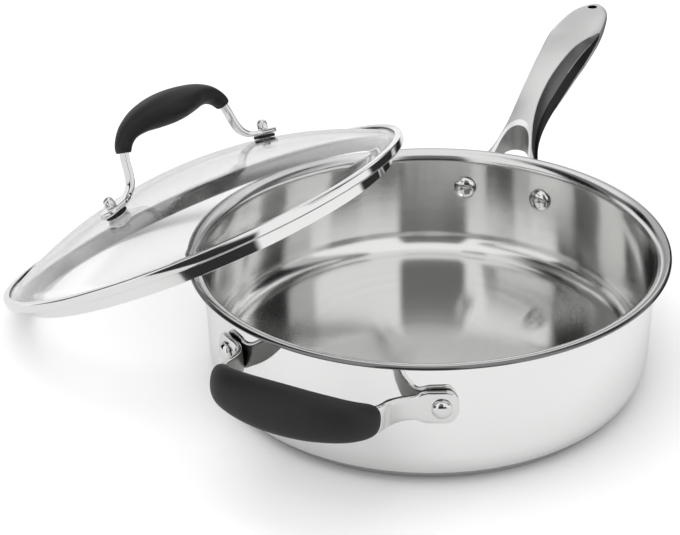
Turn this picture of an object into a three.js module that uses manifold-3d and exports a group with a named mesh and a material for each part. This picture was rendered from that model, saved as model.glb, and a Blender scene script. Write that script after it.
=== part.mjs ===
// Saute pan: a drawn steel pan on a bonded base, a forked long handle, a helper handle and a
// glass lid that leans on the rim with its low edge on the table.
// Millimetres, +Z up, the table at z = 0, the pan's axis on Z and the long handle along +X.
import * as THREE from 'three';
import { mergeVertices } from 'three/addons/utils/BufferGeometryUtils.js';
import Module from 'manifold-3d';

const wasm = await Module();
wasm.setup();

// Pan
const RIM_HEIGHT = 79.5;
const LIP_RADIUS = 140;
const WALL_RADIUS = 132;
const SHEET = 1;
const FLOOR_TOP = 7.2;
const FLOOR_FILLET = 11.5;
const LIP_FLARE = 9;
const GAP = 0.3;
const ROUND = 56;

// Bonded base
const CAP_SHEET = 0.8;
const CAP_FLAT_RADIUS = 119.8;
const CAP_EDGE_RADIUS = 9.1;

// Long handle and its rivets
const LONG_RIVET_ANGLE = 11.9;
const LONG_RIVET_HEIGHT = 54.5;
const LONG_FOOT_THICKNESS = 3.6;
const FORK_CROWN = 159.7;
const HANG_HOLE_AT = 319.5;
const HANG_HOLE_LENGTH = 8;
const HANG_HOLE_WIDTH = 7;

// Helper handle
const HELPER_RIVET_ANGLE = 28.1;
const HELPER_RIVET_HEIGHT = 52.5;
const HELPER_REACH = 170;
const HELPER_RISE = 12;
const HELPER_LEG = 46;
const HELPER_AZIMUTH = 178.9;

// Rivets
const SHANK_RADIUS = 3;
const SHANK_CLEARANCE = 0.3;
const INNER_HEAD_RADIUS = 6.3;
const INNER_HEAD_HEIGHT = 3.1;

// Straps of the two loop handles, and their soft grips
const STRAP_THICKNESS = 3.6;
const HELPER_STRAP = 14;
const HELPER_FOOT = 19;
const HELPER_BELLY = 25.5;
const LID_STRAP = 12;
const LID_FOOT = 16;
const LID_BELLY = 36;
const GRIP_THICKNESS = 15;
const GRIP_END_WIDTH = 14.4;
const GRIP_END_THICKNESS = 10;

// Lid, in its own frame: axis on Z, the foot of the skirt at z = 0
const SKIRT_RADIUS = 129;
const SKIRT_DEPTH = 8.5;
const BAND_RADIUS = 140;
const BAND_TOP = 14.6;
const BAND_SHEET = 0.9;
const GLASS_EDGE_RADIUS = 137.5;
const GLASS_THICKNESS = 4;
const DOME_TOP = 44;
const DOME_RADIUS = 305;
const LID_TILT = 23.1;
const LID_AZIMUTH = 86.3;

// Lid handle, along its own X, turned about the lid's axis from the downhill line
const LID_HANDLE_TURN = 75;
const LID_HANDLE_SHIFT = 7.5;
const LID_FOOT_RADIUS = 62.4;
const LID_HANDLE_TOP = 87.4;
const GLASS_HOLE_RADIUS = 4.6;
const GASKET_RADIUS = 7.6;
const GASKET_THICKNESS = 2;
const LID_FOOT_THICKNESS = 2.6;
const SCREW_RADIUS = 2.1;
const NUT_RADIUS = 3.9;
const NUT_HEIGHT = 4;

const STEEL = { color: 0xc9c9c7, roughness: 0.12, metalness: 1 };
const SATIN = { color: 0xb9b9b6, roughness: 0.35, metalness: 1 };
const ALUMINIUM = { color: 0xb4b6b8, roughness: 0.45, metalness: 1 };
const SILICONE = { color: 0x1d1d1e, roughness: 0.62, metalness: 0 };
const GLASS = { color: 0xdfe6e4, roughness: 0.04, metalness: 0, transparent: true, opacity: 0.35 };

const radians = THREE.MathUtils.degToRad;
const point = (r, z) => new THREE.Vector2(r, z);

// Points of an arc round (cx, cy), angles in degrees.
function arc(cx, cy, radius, from, to, steps) {
  return Array.from({ length: steps + 1 }, (_, i) => {
    const angle = radians(from + ((to - from) * i) / steps);
    return point(cx + radius * Math.cos(angle), cy + radius * Math.sin(angle));
  });
}

// A quarter ellipse from the edge of a dome to its top, on the axis.
function dome(radius, base, height, steps) {
  return Array.from({ length: steps + 1 }, (_, i) => {
    const angle = (Math.PI / 2) * (i / steps);
    const r = i === steps ? 0 : radius * Math.cos(angle);
    return point(r, base + height * Math.sin(angle));
  });
}

// One closed body: shared corners merged, flat triangles dropped, faces pointing out.
function closed(source) {
  const bare = source.clone();
  bare.deleteAttribute('normal');
  bare.deleteAttribute('uv');
  const merged = mergeVertices(bare, 1e-4);
  const index = Array.from(merged.index.array);
  const corner = (i) => new THREE.Vector3().fromBufferAttribute(merged.attributes.position, i);
  const triangles = [];
  let volume = 0;
  for (let i = 0; i < index.length; i += 3) {
    const [a, b, c] = index.slice(i, i + 3);
    if (a !== b && b !== c && c !== a) {
      triangles.push([a, b, c]);
      volume += corner(a).dot(corner(b).cross(corner(c)));
    }
  }
  merged.setIndex(triangles.flatMap(([a, b, c]) => (volume < 0 ? [a, c, b] : [a, b, c])));
  return merged;
}

function toSolid(geometry) {
  const clean = closed(geometry);
  return new wasm.Manifold(new wasm.Mesh({
    numProp: 3,
    vertProperties: new Float32Array(clean.attributes.position.array),
    triVerts: new Uint32Array(clean.index.array),
  }));
}

function toGeometry(solid) {
  const mesh = solid.getMesh();
  const geometry = new THREE.BufferGeometry();
  geometry.setAttribute('position', new THREE.BufferAttribute(mesh.vertProperties, 3));
  geometry.setIndex(new THREE.BufferAttribute(mesh.triVerts, 1));
  return geometry;
}

function cut(geometry, cutters) {
  const start = toSolid(geometry);
  return toGeometry(cutters.reduce((solid, cutter) => solid.subtract(toSolid(cutter)), start));
}

// A profile of (radius, height) points turned round Z.
function turned(profile, segments = ROUND) {
  return new THREE.LatheGeometry(profile, segments).rotateX(Math.PI / 2);
}

// A plain cylinder on Z between two heights.
function rod(radius, low, high, segments = 24) {
  const cylinder = new THREE.CylinderGeometry(radius, radius, high - low, segments);
  return cylinder.rotateX(Math.PI / 2).translate(0, 0, (low + high) / 2);
}

// A skin over rings of points, all with the same count, closed by a fan at both ends.
function loft(rings) {
  const count = rings[0].length;
  const positions = rings.flat().flatMap((p) => [p.x, p.y, p.z]);
  const index = [];
  for (let k = 0; k + 1 < rings.length; k += 1) {
    for (let i = 0; i < count; i += 1) {
      const a = k * count + i;
      const b = k * count + ((i + 1) % count);
      index.push(a, b, b + count, a, b + count, a + count);
    }
  }
  [0, rings.length - 1].forEach((k) => {
    const middle = new THREE.Vector3();
    rings[k].forEach((p) => middle.addScaledVector(p, 1 / count));
    const hub = positions.length / 3;
    positions.push(middle.x, middle.y, middle.z);
    for (let i = 0; i < count; i += 1) {
      const a = k * count + i;
      const b = k * count + ((i + 1) % count);
      index.push(...(k === 0 ? [hub, b, a] : [hub, a, b]));
    }
  });
  const geometry = new THREE.BufferGeometry();
  geometry.setAttribute('position', new THREE.Float32BufferAttribute(positions, 3));
  geometry.setIndex(index);
  return geometry;
}

// A rounded ring across a path: half sizes across and through it, squarer as the power grows.
function ovalRing(centre, across, through, halfAcross, halfThrough, power, sides) {
  const swell = (value) => Math.sign(value) * Math.abs(value) ** (2 / power);
  return Array.from({ length: sides }, (_, i) => {
    const angle = (2 * Math.PI * (i + 0.5)) / sides;
    return centre.clone()
      .addScaledVector(across, halfAcross * swell(Math.cos(angle)))
      .addScaledVector(through, halfThrough * swell(Math.sin(angle)));
  });
}

// A bar along a curve. sizes(u) gives half width and half thickness, acrossAt(u) the width's way.
function bar(curve, from, to, steps, acrossAt, sizes, power, sides) {
  const rings = Array.from({ length: steps + 1 }, (_, i) => {
    const u = from + ((to - from) * i) / steps;
    const tangent = curve.getTangentAt(u);
    const across = acrossAt(u);
    const through = new THREE.Vector3().crossVectors(tangent, across).normalize();
    const [halfAcross, halfThrough] = sizes(u, i / steps);
    return ovalRing(curve.getPointAt(u), across, through, halfAcross, halfThrough, power, sides);
  });
  return loft(rings);
}

function piece(name, geometry, look) {
  const mesh = new THREE.Mesh(closed(geometry), new THREE.MeshStandardMaterial(look));
  mesh.name = name;
  return mesh;
}

const mix = (a, b, t) => a + (b - a) * t;
const smooth = (t) => t * t * (3 - 2 * t);
const clamp01 = (t) => Math.min(1, Math.max(0, t));

// A rivet's place: its own Z turned to point out of the pan at an angle and a height.
function radially(geometry, angle, height) {
  return geometry.rotateY(Math.PI / 2).rotateZ(radians(angle)).translate(0, 0, height);
}

function rivetHole(angle, height) {
  const reach = LIP_RADIUS + 10;
  return radially(rod(SHANK_RADIUS + SHANK_CLEARANCE, WALL_RADIUS - 20, reach), angle, height);
}

// Both heads are domes: one inside the pan, one over the outer face of the foot.
function rivet(outerFace, outerRadius, outerHeight) {
  const innerFace = WALL_RADIUS - SHEET - 2 * GAP;
  const inner = dome(INNER_HEAD_RADIUS, 0, INNER_HEAD_HEIGHT, 3);
  const outer = dome(outerRadius, 0, outerHeight, 3);
  const profile = [
    ...inner.reverse().map((p) => point(p.x, innerFace - 0.4 - p.y)),
    point(INNER_HEAD_RADIUS, innerFace),
    point(SHANK_RADIUS, innerFace),
    point(SHANK_RADIUS, outerFace + GAP),
    point(outerRadius, outerFace + GAP),
    ...outer.map((p) => point(p.x, outerFace + GAP + 0.5 + p.y)),
  ];
  return turned(profile, 16);
}

// Pan body: floor, fillet, upright wall and flared pouring lip of one sheet.
function panBody() {
  const inner = WALL_RADIUS - SHEET;
  const flat = inner - FLOOR_FILLET;
  const bend = FLOOR_TOP + FLOOR_FILLET;
  const flareFoot = RIM_HEIGHT - LIP_FLARE;
  const profile = [
    point(0, FLOOR_TOP),
    ...arc(flat, bend, FLOOR_FILLET, -90, 0, 5),
    ...arc(LIP_RADIUS, flareFoot, LIP_FLARE, 180, 90, 5),
    point(LIP_RADIUS + SHEET / 3, RIM_HEIGHT - SHEET / 2),
    ...arc(LIP_RADIUS, flareFoot, LIP_FLARE - SHEET, 90, 180, 5),
    ...arc(flat, bend, FLOOR_FILLET + SHEET, 0, -90, 5),
    point(0, FLOOR_TOP - SHEET),
  ];
  const holes = [-1, 1].flatMap((side) => [
    rivetHole(side * LONG_RIVET_ANGLE, LONG_RIVET_HEIGHT),
    rivetHole(HELPER_AZIMUTH + side * HELPER_RIVET_ANGLE, HELPER_RIVET_HEIGHT),
  ]);
  return cut(turned(profile), holes);
}

// Base cap: a shallow dish whose rounded edge runs up to the pan's own fillet.
function baseCap() {
  const profile = [
    point(0, 0),
    ...arc(CAP_FLAT_RADIUS, CAP_EDGE_RADIUS, CAP_EDGE_RADIUS, -90, 0, 4),
    ...arc(CAP_FLAT_RADIUS, CAP_EDGE_RADIUS, CAP_EDGE_RADIUS - CAP_SHEET, 0, -90, 4),
    point(0, CAP_SHEET),
  ];
  return turned(profile);
}

function baseCore() {
  const low = CAP_SHEET + GAP;
  const high = FLOOR_TOP - SHEET - GAP;
  const edge = CAP_FLAT_RADIUS + CAP_EDGE_RADIUS - CAP_SHEET;
  return turned([
    point(0, low),
    point(CAP_FLAT_RADIUS + 1, low),
    point(edge - 2, high),
    point(0, high),
  ]);
}

// Stations of the long handle: distance out, height, half width, half width of the flat top,
// then the heights of the top and the bottom above and below the middle line.
const LONG_STATIONS = [
  [134.4, 45.5, 35, 34, 1.8, -1.8],
  [134.4, 62, 35, 34, 1.8, -1.8],
  [136.6, 67.2, 29.5, 28, 2.4, -2.4],
  [141.5, 71.8, 21.2, 19.4, 3.4, -3.8],
  [148, 76.5, 16.8, 14, 4.6, -6],
  [156, 81.9, 13.8, 10.8, 6.6, -8.5],
  [166, 86.9, 12.4, 8.4, 10, -9],
  [175, 90.8, 12.3, 7.5, 12.8, -8.8],
  [185, 94.9, 13, 7.2, 14.6, -8.5],
  [200, 100.3, 14.8, 7.5, 15.8, -8.4],
  [215, 105.5, 16.3, 8.5, 15.4, -8.8],
  [230, 110.4, 17.7, 9.7, 13.9, -9],
  [245, 114.8, 19, 11, 11.7, -9.2],
  [260, 118.8, 19.6, 13.2, 9, -9],
  [272, 121.7, 19.7, 14.6, 6.6, -8.8],
  [282, 124, 19, 13.8, 4.9, -8.2],
  [291, 126, 18, 12.6, 3.8, -7.4],
  [305.8, 129.1, 15.5, 10.8, 2.4, -6],
  [316.7, 130.7, 12.5, 8.8, 1.7, -4.8],
  [324.3, 131.3, 8.3, 5.6, 1.2, -3.6],
  [328.7, 131.6, 4.2, 3.6, 0.8, -2.2],
];

// One ring of the long handle: a crowned top, a flank on each side that is hollowed up to the
// rounded end, and a round belly.
function longRing(station, tangent) {
  const [x, z, half, flat, top, bottom] = station;
  const middle = 0.35 * bottom;
  const hollow = (x < 268 ? 0.16 : -0.1) * (half - flat);
  const side = [
    [0, top * 1.06],
    [0.6 * flat, top * 1.03],
    [flat, top],
    [mix(flat, half, 0.3) - hollow, mix(top, middle, 0.4) - hollow],
    [mix(flat, half, 0.68) - hollow, mix(top, middle, 0.72) - hollow],
    [half, middle],
    [0.9 * half, mix(middle, bottom, 0.6)],
    [0.55 * half, 0.97 * bottom],
    [0, bottom],
  ];
  const mirror = side.slice(1, -1).reverse().map(([y, n]) => [-y, n]);
  const wrap = 1 - smooth(clamp01((x - LIP_RADIUS + 4) / 20));
  return [...side, ...mirror].map(([y, n]) => {
    const sag = wrap * (WALL_RADIUS - Math.sqrt(WALL_RADIUS ** 2 - y ** 2));
    return new THREE.Vector3(x - n * tangent.z - sag, y, z + n * tangent.x);
  });
}

// The arch between the two legs, seen from above.
function forkNotch() {
  const shape = new THREE.Shape();
  const leg = [[137, 12.6], [143, 12], [147, 11], [150.5, 10], [153, 9], [156, 7.4], [158.4, 4.8]];
  const other = leg.slice().reverse().map(([x, y]) => [x, -y]);
  const [start, ...rest] = [...leg, [FORK_CROWN, 0], ...other];
  shape.moveTo(WALL_RADIUS - 20, 12.6);
  shape.lineTo(...start);
  shape.splineThru(rest.map(([x, y]) => point(x, y)));
  shape.lineTo(WALL_RADIUS - 20, -12.6);
  const depth = 2 * RIM_HEIGHT;
  return new THREE.ExtrudeGeometry(shape, { depth, bevelEnabled: false, curveSegments: 16 });
}

function hangHole() {
  const shape = new THREE.Shape();
  const half = (HANG_HOLE_LENGTH - HANG_HOLE_WIDTH) / 2;
  shape.absarc(HANG_HOLE_AT + half, 0, HANG_HOLE_WIDTH / 2, -Math.PI / 2, Math.PI / 2);
  shape.absarc(HANG_HOLE_AT - half, 0, HANG_HOLE_WIDTH / 2, Math.PI / 2, (3 * Math.PI) / 2);
  const depth = RIM_HEIGHT;
  const options = { depth, bevelEnabled: false, curveSegments: 8 };
  return new THREE.ExtrudeGeometry(shape, options).translate(0, 0, RIM_HEIGHT + 10);
}

function longHandle() {
  const line = new THREE.CatmullRomCurve3(
    LONG_STATIONS.map(([x, z]) => new THREE.Vector3(x, 0, z)),
    false,
    'centripetal',
  );
  const last = LONG_STATIONS.length - 1;
  const rings = LONG_STATIONS.map((station, i) => longRing(station, line.getTangent(i / last)));
  const seat = rod(WALL_RADIUS + GAP + 0.1, 0, 2 * RIM_HEIGHT, ROUND);
  const holes = [-1, 1].map((side) => rivetHole(side * LONG_RIVET_ANGLE, LONG_RIVET_HEIGHT));
  return cut(loft(rings), [seat, forkNotch(), hangHole(), ...holes]);
}

// Helper handle, along its own +X: its feet lie on the wall, its loop rises as it reaches out.
function helperCurve() {
  const foot = (angle) => {
    const radius = WALL_RADIUS + 2 * GAP + STRAP_THICKNESS / 2;
    return [radius * Math.cos(radians(angle)), radius * Math.sin(radians(angle)), 0];
  };
  const half = [
    foot(HELPER_RIVET_ANGLE + 3.7),
    foot(HELPER_RIVET_ANGLE + 1.5),
    foot(HELPER_RIVET_ANGLE - 1.5),
    foot(HELPER_RIVET_ANGLE - 4.6),
    [132.6, HELPER_LEG + 2.2, 0.26],
    [142, HELPER_LEG - 0.2, 0.5],
    [HELPER_REACH - 16, HELPER_LEG - 2, 0.72],
    [HELPER_REACH - 7, HELPER_LEG - 9.5, 0.9],
    [HELPER_REACH - 1.6, 20, 0.98],
  ];
  const all = [...half, [HELPER_REACH, 0, 1], ...half.slice().reverse().map(([x, y, t]) => [x, -y, t])];
  const points = all.map(([x, y, t]) => new THREE.Vector3(x, y, HELPER_RIVET_HEIGHT + t * HELPER_RISE));
  return new THREE.CatmullRomCurve3(points, false, 'centripetal');
}

// The strap stands upright on the wall and leans with the loop further out.
function helperAcross(curve) {
  const lean = Math.atan2(HELPER_RISE, HELPER_REACH - WALL_RADIUS);
  return (u) => {
    const out = clamp01((curve.getPointAt(u).x - WALL_RADIUS) / 20);
    const angle = lean * smooth(out);
    return new THREE.Vector3(-Math.sin(angle), 0, Math.cos(angle));
  };
}

// Strap sizes: a broad rounded foot at each end, a narrower strap between.
function strapSizes(length, strapWidth, footWidth) {
  return (u) => {
    const fromEnd = Math.min(u, 1 - u) * length;
    const foot = 1 - smooth(clamp01((fromEnd - 15) / 9));
    const tip = 0.62 + 0.38 * smooth(clamp01(fromEnd / 5));
    return [(tip * mix(strapWidth, footWidth, foot)) / 2, STRAP_THICKNESS / 2];
  };
}

// Grip sizes: slim at the ends, a broad belly in the middle.
function gripSizes(bellyWidth, sharpness) {
  return (u, t) => {
    const belly = Math.sin(Math.PI * t) ** sharpness;
    const end = 0.9 + 0.1 * smooth(clamp01(Math.min(t, 1 - t) / 0.05));
    const width = mix(GRIP_END_WIDTH, bellyWidth, belly) * end;
    const thickness = mix(GRIP_END_THICKNESS, GRIP_THICKNESS, belly) * end;
    return [width / 2, thickness / 2];
  };
}

// The strap and the soft sleeve moulded over its middle, as two bodies with a gap between.
function strapAndGrip(curve, acrossAt, gripFrom, holes, sizes, gripAt) {
  const strap = bar(curve, 0, 1, 36, acrossAt, sizes, 3.2, 10);
  const grown = (u) => sizes(u).map((half) => half + GAP);
  const past = gripFrom - 0.02;
  const channel = bar(curve, past, 1 - past, 22, acrossAt, grown, 3.2, 10);
  const sleeve = bar(curve, gripFrom, 1 - gripFrom, 20, acrossAt, gripAt, 2.3, 14);
  return [cut(strap, holes), cut(sleeve, [channel])];
}

function paramAt(curve, test) {
  const steps = 400;
  for (let i = 0; i < steps; i += 1) {
    if (test(curve.getPointAt(i / steps))) {
      return i / steps;
    }
  }
  return 0.5;
}

function helperHandle() {
  const curve = helperCurve();
  const gripFrom = paramAt(curve, (p) => p.x > HELPER_REACH - 17);
  const holes = [-1, 1].map((side) => rivetHole(side * HELPER_RIVET_ANGLE, HELPER_RIVET_HEIGHT));
  const sizes = strapSizes(curve.getLength(), HELPER_STRAP, HELPER_FOOT);
  const gripAt = gripSizes(HELPER_BELLY, 0.7);
  const [strap, grip] = strapAndGrip(curve, helperAcross(curve), gripFrom, holes, sizes, gripAt);
  const group = new THREE.Group();
  group.rotation.z = radians(HELPER_AZIMUTH);
  group.add(piece('helper_handle_bar', strap, STEEL), piece('helper_handle_grip', grip, SILICONE));
  const outerFace = WALL_RADIUS + 2 * GAP + STRAP_THICKNESS;
  ['right', 'left'].forEach((word, i) => {
    const shape = radially(rivet(outerFace, 5.3, 3), (2 * i - 1) * HELPER_RIVET_ANGLE, HELPER_RIVET_HEIGHT);
    group.add(piece(`helper_rivet_${word}`, shape, STEEL));
  });
  return group;
}

// Lid glass: a shallow dome with a flat edge and two holes for the handle's screws.
const domeHeight = (r, radius) => DOME_TOP - DOME_RADIUS + Math.sqrt(radius ** 2 - r ** 2);
const DOME_EDGE = 132;

function lidGlass() {
  const inner = DOME_RADIUS - GLASS_THICKNESS;
  const radii = [0, 26, 52, 78, 106, DOME_EDGE];
  const edgeTop = BAND_TOP - BAND_SHEET - GAP;
  const edgeLow = SKIRT_DEPTH + BAND_SHEET + GAP;
  const profile = [
    ...radii.map((r) => point(r, domeHeight(r, DOME_RADIUS))),
    point(DOME_EDGE + 2.6, edgeTop),
    point(GLASS_EDGE_RADIUS - 0.6, edgeTop),
    point(GLASS_EDGE_RADIUS, edgeTop - 1),
    point(GLASS_EDGE_RADIUS, edgeLow + 1),
    point(GLASS_EDGE_RADIUS - 0.6, edgeLow),
    point(DOME_EDGE, edgeLow),
    ...radii.slice(0, -1).reverse().map((r) => point(r, domeHeight(r, inner))),
  ];
  const holes = [0, 1].map((side) => {
    const drill = rod(GLASS_HOLE_RADIUS, -20, 20, 18).applyMatrix4(lidFoot(side));
    return drill.applyMatrix4(lidHandleFrame());
  });
  return cut(turned(profile), holes);
}

// Lid band: skirt, flange and the roll that grips the edge of the glass, of one sheet.
function lidBand() {
  const inner = SKIRT_RADIUS - BAND_SHEET;
  const flangeTop = SKIRT_DEPTH + BAND_SHEET;
  const rollMiddle = (SKIRT_DEPTH + BAND_TOP) / 2;
  const rollRadius = (BAND_TOP - SKIRT_DEPTH) / 2;
  const rollCentre = BAND_RADIUS - rollRadius;
  const lipEnd = 135.6;
  const profile = [
    point(inner, 0),
    point(SKIRT_RADIUS, 0),
    point(SKIRT_RADIUS, SKIRT_DEPTH),
    ...arc(rollCentre, rollMiddle, rollRadius, -90, 90, 6),
    point(lipEnd, BAND_TOP),
    point(lipEnd, BAND_TOP - BAND_SHEET),
    ...arc(rollCentre, rollMiddle, rollRadius - BAND_SHEET, 90, -90, 6),
    point(inner, flangeTop),
    point(inner, 0),
  ];
  return turned(profile);
}

// The lid handle's own frame: X along the handle, Z up from the glass. The handle sits a little
// off the middle, so its frame is turned about the centre of the dome.
function lidHandleFrame() {
  const centre = DOME_TOP - DOME_RADIUS;
  return new THREE.Matrix4().makeRotationZ(radians(LID_HANDLE_TURN))
    .multiply(new THREE.Matrix4().makeTranslation(0, 0, centre))
    .multiply(new THREE.Matrix4().makeRotationX(-LID_HANDLE_SHIFT / DOME_RADIUS))
    .multiply(new THREE.Matrix4().makeTranslation(0, 0, -centre));
}

// A foot in that frame: its own Z stands on the glass, its own X points out from the middle.
function lidFoot(side) {
  const slope = Math.asin(LID_FOOT_RADIUS / DOME_RADIUS);
  return new THREE.Matrix4().makeRotationZ(Math.PI * side)
    .multiply(new THREE.Matrix4().makeTranslation(LID_FOOT_RADIUS, 0, domeHeight(LID_FOOT_RADIUS, DOME_RADIUS)))
    .multiply(new THREE.Matrix4().makeRotationY(slope));
}

const FOOT_LOW = GAP + GASKET_THICKNESS + GAP;
const FOOT_HIGH = FOOT_LOW + LID_FOOT_THICKNESS;

// Middle line of the lid handle in its own plane: feet flat on the glass, then legs and an arch.
function lidHandleCurve() {
  const slope = Math.asin(LID_FOOT_RADIUS / DOME_RADIUS);
  const lift = FOOT_LOW + STRAP_THICKNESS / 2;
  const onFoot = (along) => [
    LID_FOOT_RADIUS + along * Math.cos(slope) + lift * Math.sin(slope),
    domeHeight(LID_FOOT_RADIUS, DOME_RADIUS) - along * Math.sin(slope) + lift * Math.cos(slope),
  ];
  const half = [
    onFoot(9),
    onFoot(4.5),
    onFoot(0),
    onFoot(-5),
    [52, 44.8],
    [46.2, 49.8],
    [43.6, 57],
    [42, 66],
    [39.4, 74],
    [33.4, 80.4],
    [23.4, LID_HANDLE_TOP - 2.7],
    [12, LID_HANDLE_TOP - 0.7],
  ];
  const all = [...half, [0, LID_HANDLE_TOP], ...half.slice().reverse().map(([s, z]) => [-s, z])];
  return new THREE.CatmullRomCurve3(all.map(([s, z]) => new THREE.Vector3(s, 0, z)), false, 'centripetal');
}

// Screw from below, gaskets on both faces of the glass and a domed nut on the foot.
function lidFastener(side, word) {
  const low = -GLASS_THICKNESS - 2 * GAP;
  const seat = low - GASKET_THICKNESS;
  const bore = SCREW_RADIUS + GAP;
  const upper = turned([point(bore, GAP), point(GASKET_RADIUS, GAP),
    point(GASKET_RADIUS, GAP + GASKET_THICKNESS), point(bore, GAP + GASKET_THICKNESS), point(bore, GAP)], 18);
  const collar = GLASS_HOLE_RADIUS - GAP;
  const lower = turned([point(bore, seat), point(GASKET_RADIUS, seat), point(GASKET_RADIUS, low),
    point(collar, low), point(collar, 0), point(bore, 0), point(bore, seat)], 18);
  const head = seat - GAP;
  const tip = FOOT_HIGH + NUT_HEIGHT - 0.4;
  const screw = turned([...dome(6, 0, 2.4, 3).reverse().map((p) => point(p.x, head - p.y)),
    point(SCREW_RADIUS, head), point(SCREW_RADIUS, tip), point(0, tip)], 16);
  const nutBase = FOOT_HIGH + STRAP_THICKNESS - LID_FOOT_THICKNESS + GAP;
  const hex = new THREE.CylinderGeometry(NUT_RADIUS, NUT_RADIUS, NUT_HEIGHT, 6).rotateX(Math.PI / 2);
  const crown = turned([point(0, 0), ...dome(NUT_RADIUS - 0.5, NUT_HEIGHT - 0.2, 2.4, 3)], 16);
  const bodyOfNut = toSolid(hex.translate(0, 0, NUT_HEIGHT / 2)).add(toSolid(crown));
  const nut = toGeometry(bodyOfNut.subtract(toSolid(rod(SCREW_RADIUS + GAP, -1, NUT_HEIGHT)))).translate(0, 0, nutBase);
  const group = new THREE.Group();
  group.applyMatrix4(lidHandleFrame().multiply(lidFoot(side)));
  group.add(
    piece(`lid_gasket_upper_${word}`, upper, SILICONE),
    piece(`lid_gasket_lower_${word}`, lower, SILICONE),
    piece(`lid_screw_${word}`, screw, STEEL),
    piece(`lid_nut_${word}`, nut, STEEL),
  );
  return group;
}

function lidHandle() {
  const curve = lidHandleCurve();
  const gripFrom = paramAt(curve, (p) => p.z > 70);
  const drill = (side) => rod(SCREW_RADIUS + GAP, 0, 12, 16).applyMatrix4(lidFoot(side));
  const across = new THREE.Vector3(0, 1, 0);
  const sizes = strapSizes(curve.getLength(), LID_STRAP, LID_FOOT);
  const gripAt = gripSizes(LID_BELLY, 1.4);
  const [strap, grip] = strapAndGrip(curve, () => across, gripFrom, [drill(0), drill(1)], sizes, gripAt);
  const group = new THREE.Group();
  group.applyMatrix4(lidHandleFrame());
  group.add(piece('lid_handle_bar', strap, STEEL), piece('lid_handle_grip', grip, SILICONE));
  return group;
}

// The lean: the foot of the skirt stands on the table on the far side, and the skirt meets the
// pan's lip at two points. The height and the reach of the lid's middle follow from the tilt.
function leaningLid() {
  const tilt = radians(LID_TILT);
  const height = SKIRT_RADIUS * Math.sin(tilt) + GAP;
  const meeting = (RIM_HEIGHT + GAP - height) / (SKIRT_RADIUS * Math.sin(tilt));
  const sideways = SKIRT_RADIUS * Math.sqrt(1 - meeting ** 2);
  const lip = LIP_RADIUS + SHEET / 2;
  const reach = Math.sqrt(lip ** 2 - sideways ** 2) + SKIRT_RADIUS * meeting * Math.cos(tilt);
  const tipped = new THREE.Group();
  tipped.rotation.y = tilt;
  tipped.position.set(reach, 0, height);
  tipped.add(
    piece('lid_glass', lidGlass(), GLASS),
    piece('lid_band', lidBand(), STEEL),
    lidHandle(),
    lidFastener(0, 'front'),
    lidFastener(1, 'rear'),
  );
  const lid = new THREE.Group();
  lid.rotation.z = radians(LID_AZIMUTH);
  lid.add(tipped);
  return lid;
}

const pan = new THREE.Group();
pan.add(
  piece('pan_body', panBody(), STEEL),
  piece('base_core', baseCore(), ALUMINIUM),
  piece('base_cap', baseCap(), SATIN),
  piece('long_handle', longHandle(), SATIN),
);
['right', 'left'].forEach((word, i) => {
  const outerFace = WALL_RADIUS + GAP + LONG_FOOT_THICKNESS + 0.6;
  const shape = radially(rivet(outerFace, 5, 1.8), (2 * i - 1) * LONG_RIVET_ANGLE, LONG_RIVET_HEIGHT);
  pan.add(piece(`long_handle_rivet_${word}`, shape, STEEL));
});
pan.add(helperHandle(), leaningLid());

export default pan;
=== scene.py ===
import math

import bmesh
import bpy
from mathutils import Matrix, Vector


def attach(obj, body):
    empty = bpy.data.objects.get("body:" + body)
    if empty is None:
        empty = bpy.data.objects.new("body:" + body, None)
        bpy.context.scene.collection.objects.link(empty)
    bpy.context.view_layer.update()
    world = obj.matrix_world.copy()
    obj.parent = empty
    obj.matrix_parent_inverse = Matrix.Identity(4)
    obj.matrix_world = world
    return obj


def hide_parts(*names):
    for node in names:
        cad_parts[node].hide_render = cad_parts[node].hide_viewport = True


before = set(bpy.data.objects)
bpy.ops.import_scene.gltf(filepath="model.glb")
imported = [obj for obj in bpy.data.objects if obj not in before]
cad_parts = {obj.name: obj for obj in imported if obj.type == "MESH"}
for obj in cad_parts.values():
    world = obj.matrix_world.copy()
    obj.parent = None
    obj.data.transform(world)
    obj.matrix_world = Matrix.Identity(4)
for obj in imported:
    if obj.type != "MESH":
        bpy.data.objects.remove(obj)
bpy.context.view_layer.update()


# Table and studio: a seamless pale table under even white light from all round, with one large
# soft lamp overhead. Dark cards stand round it, and only mirror-like surfaces show them.
class Wire:
    """A socket in a node tree. Arithmetic on it adds Math nodes; node() adds any other node."""

    def __init__(self, tree, socket=None):
        self.tree, self.socket = tree, socket

    def node(self, kind, settings=None, links=None, out=0):
        made = self.tree.nodes.new(kind)
        for key, value in (settings or {}).items():
            setattr(made, key, value)
        for key, value in (links or {}).items():
            if isinstance(value, Wire):
                self.tree.links.new(value.socket, made.inputs[key])
            else:
                made.inputs[key].default_value = value
        return Wire(self.tree, made.outputs[out] if made.outputs else None)

    def output(self, name):
        return Wire(self.tree, self.socket.node.outputs[name])

    def into(self, socket):
        self.tree.links.new(self.socket, socket)

    def math(self, operation, first, second=0.0):
        return self.node("ShaderNodeMath", {"operation": operation}, {0: first, 1: second})

    def __add__(self, other):
        return self.math("ADD", self, other)

    def __sub__(self, other):
        return self.math("SUBTRACT", self, other)

    def __rsub__(self, other):
        return self.math("SUBTRACT", other, self)

    def __mul__(self, other):
        return self.math("MULTIPLY", self, other)

    def __rtruediv__(self, other):
        return self.math("DIVIDE", other, self)

    def __pow__(self, other):
        return self.math("POWER", self, other)

    __radd__ = __add__
    __rmul__ = __mul__

    def fade(self, low, high):
        """0 at low and below, 1 at high and above, smooth between."""
        links = {"Value": self, "From Min": low, "From Max": high}
        return self.node("ShaderNodeMapRange", {"interpolation_type": "SMOOTHSTEP"}, links)


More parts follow.
